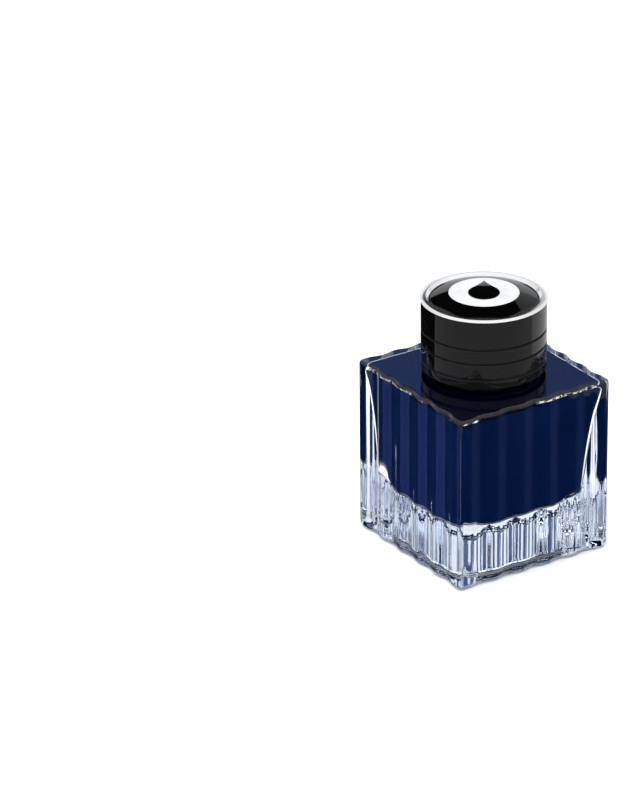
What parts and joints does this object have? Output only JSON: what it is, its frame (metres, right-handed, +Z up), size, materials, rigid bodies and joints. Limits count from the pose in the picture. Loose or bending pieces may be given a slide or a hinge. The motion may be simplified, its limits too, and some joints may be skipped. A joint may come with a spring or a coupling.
{
  "type": "ink bottle",
  "caption": "Square fluted glass ink bottle with a thick clear base, dark blue ink, a black screw cap with a bright ring, and a sealing liner.",
  "frame": {"origin": "centre of the base, on the surface that the bottle stands on", "axes": "+Z up along the neck and the cap's thread, +X and +Y square to the body's sides"},
  "size_m": [0.0484, 0.0484, 0.0729],
  "materials": {
    "clear_glass": "fire-polished pressed glass",
    "blue_ink": "dark blue liquid",
    "liner_foam": "foamed polyethylene wad",
    "insert_plastic": "moulded polypropylene",
    "cap_gloss_black": "polished black",
    "disc_gloss_black": "polished black resin",
    "emblem_white": "white inlay",
    "ring_chrome": "polished bright metal"
  },
  "bodies": {
    "bottle": {"glass_bottle": "clear_glass", "ink_fill": "blue_ink"},
    "liner": {"sealing_liner": "liner_foam"},
    "cap": {"threaded_insert": "insert_plastic", "cap_shell": "cap_gloss_black", "top_disc": "disc_gloss_black", "emblem_inlay": "emblem_white", "trim_ring": "ring_chrome"}
  },
  "joints": [
    {"name": "cap_rise", "type": "slide", "parent": "bottle", "child": "liner", "axis": [0, 0, 1], "range_m": [0, 0.0128]},
    {"name": "cap_turn", "type": "hinge", "parent": "liner", "child": "cap", "pos_m": [0, 0, 0.0617], "axis": [0, 0, 1], "range_deg": [0, 1080]}
  ],
  "couplings": [
    {"joint": "cap_rise", "follows": "cap_turn", "m_per_rad": 0.00067376}
  ]
}
